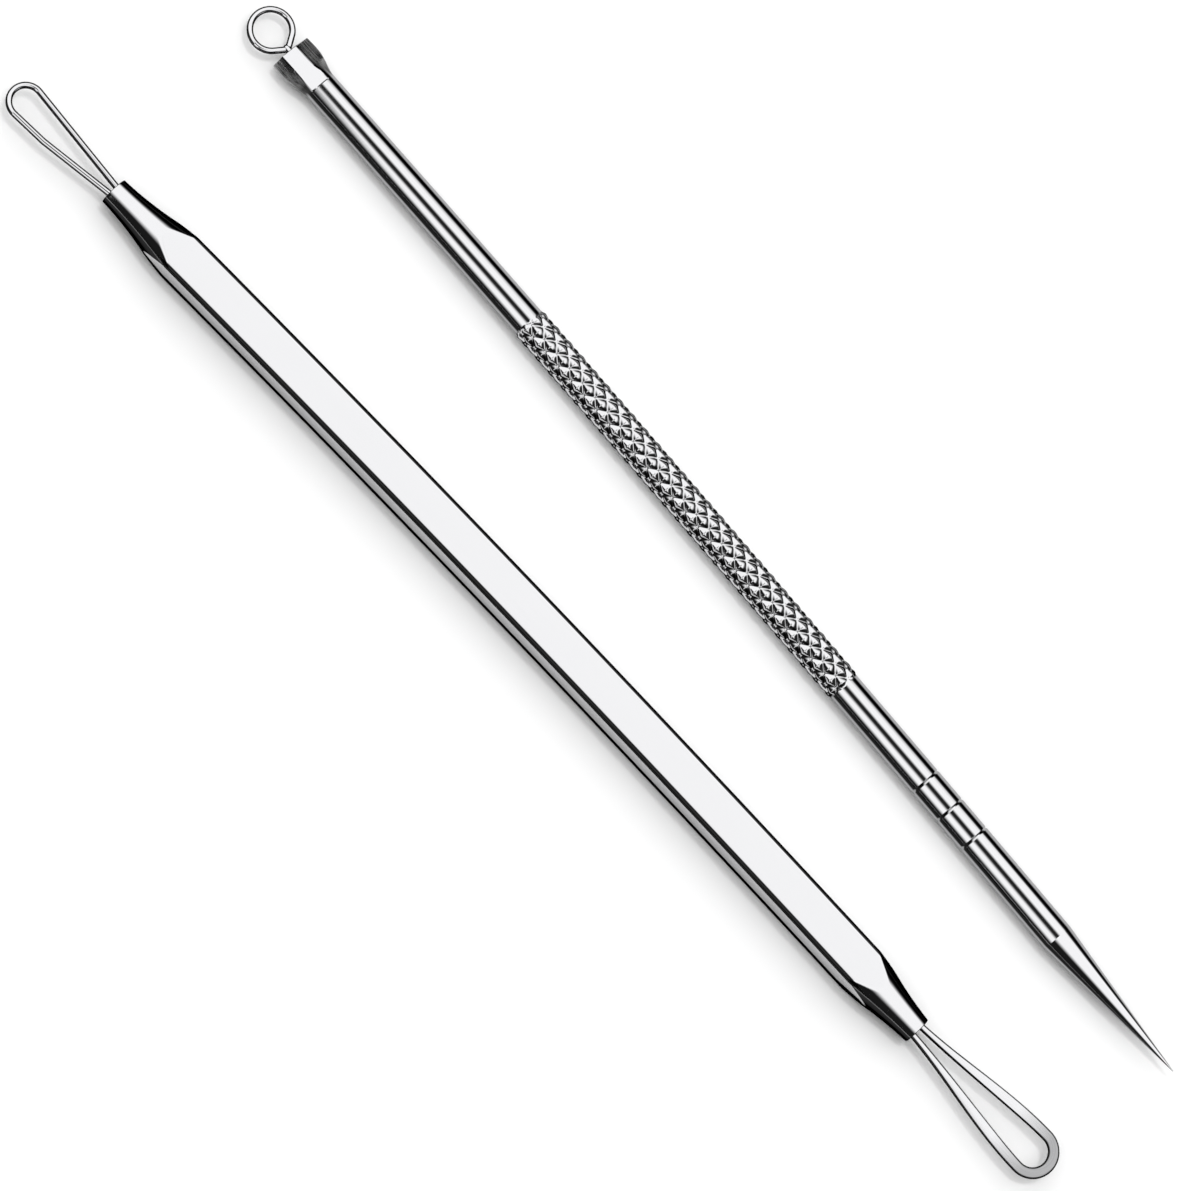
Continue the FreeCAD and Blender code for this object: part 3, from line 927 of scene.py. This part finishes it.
def floor():
    mesh = bpy.data.meshes.new("floor")
    signs = ((-1, -1), (1, -1), (1, 1), (-1, 1))
    mesh.from_pydata([(x * FLOOR_HALF, y * FLOOR_HALF, 0) for x, y in signs], [], [(0, 1, 2, 3)])
    table = bpy.data.objects.new("floor", mesh)
    bpy.context.scene.collection.objects.link(table)
    material = bpy.data.materials.new("floor_white")
    material.use_nodes = True
    shader = material.node_tree.nodes["Principled BSDF"]
    shader.inputs["Base Color"].default_value = opaque(FLOOR_WHITE)
    shader.inputs["Roughness"].default_value = 1.0
    shader.inputs["Specular IOR Level"].default_value = 0.0
    mesh.materials.append(material)


def studio_world():
    world = bpy.data.worlds.new("studio")
    bpy.context.scene.world = world
    world.use_nodes = True
    graph = Graph(world.node_tree)
    x, y, z = graph.axes(graph.add("ShaderNodeTexCoord", {}).outputs["Generated"])
    angle = graph.math("ARCTAN2", graph.math("MULTIPLY", y, -1.0), z)
    degrees = graph.math("DEGREES", angle)
    middle = graph.eased(degrees, MIDDLE_STOPS, -180, 180)
    sides = graph.eased(degrees, SIDE_STOPS, -180, 180)
    length = graph.eased(x, LENGTH_STOPS, -1, 1)
    away = graph.math("ABSOLUTE", graph.math("SUBTRACT", x, MIDDLE_CENTRE))
    across = graph.mix(graph.ranged(away, *MIDDLE_REACH, 0.0, 1.0), middle, sides)
    background = graph.nodes["Background"]
    graph.feed(background.inputs["Color"], graph.mix(1.0, across, length, "MULTIPLY"))
    graph.feed(background.inputs["Strength"], BOX_LEVEL)


def lamps():
    for name, (strength, elevation, angle) in LAMPS.items():
        data = bpy.data.lights.new(name, "SUN")
        data.energy = strength
        data.angle = math.radians(angle)
        lamp = bpy.data.objects.new(name, data)
        lamp.rotation_euler = (math.radians(elevation - 90), 0, 0)
        lamp.visible_glossy = False
        bpy.context.scene.collection.objects.link(lamp)


def camera(tool):
    data = bpy.data.cameras.new("camera")
    data.lens = LENS_MM
    data.sensor_width = SENSOR_MM
    data.clip_start = VIEW_CLIP
    body = bpy.data.objects.new("camera", data)
    bpy.context.scene.collection.objects.link(body)
    height = math.radians(VIEW_ELEVATION)
    lean = math.radians(VIEW_LEAN)
    away = Vector((0, -math.cos(height), math.sin(height)))
    straight_up = Vector((0, math.sin(height), math.cos(height)))
    along = Vector((1, 0, 0))
    right = along * math.cos(lean) + straight_up * math.sin(lean)
    up = straight_up * math.cos(lean) - along * math.sin(lean)
    distance = VIEW_HEIGHT * LENS_MM / SENSOR_MM
    turn = Matrix((right, up, away)).transposed().to_4x4()
    body.matrix_world = Matrix.Translation(tool.matrix @ VIEW_MIDDLE + away * distance) @ turn
    bpy.context.scene.camera = body


def main():
    bpy.context.scene.view_settings.view_transform = "Standard"
    loops = loop_tool()
    needle = needle_tool()
    loop_wire = polished_steel("loop_wire_steel", loops, ALONG_LINES, WIRE_ROUGH).material
    ring_wire = polished_steel("ring_wire_steel", needle, ALONG_LINES, WIRE_ROUGH).material
    braze_skin = braze_metal("braze_skin", loops)

    square_handle(loops, bar_steel("bar_steel", loops))
    narrow_loop(loops, loop_wire)
    wide_loop(loops, strip_steel("strip_steel", loops))
    braze(loops, "narrow_filler", "narrow_loop_braze", 0, 1, NARROW_BORE_R, braze_skin)
    braze(loops, "wide_filler", "wide_loop_braze", HANDLE_LEN, -1, WIDE_BORE_R, braze_skin)
    round_handle(needle, crimped_steel("knurled_bar_steel", needle))
    ring_stem(needle, ring_wire)
    ring_loop(needle, ring_wire)

    floor()
    lamps()
    studio_world()
    camera(loops)


main()
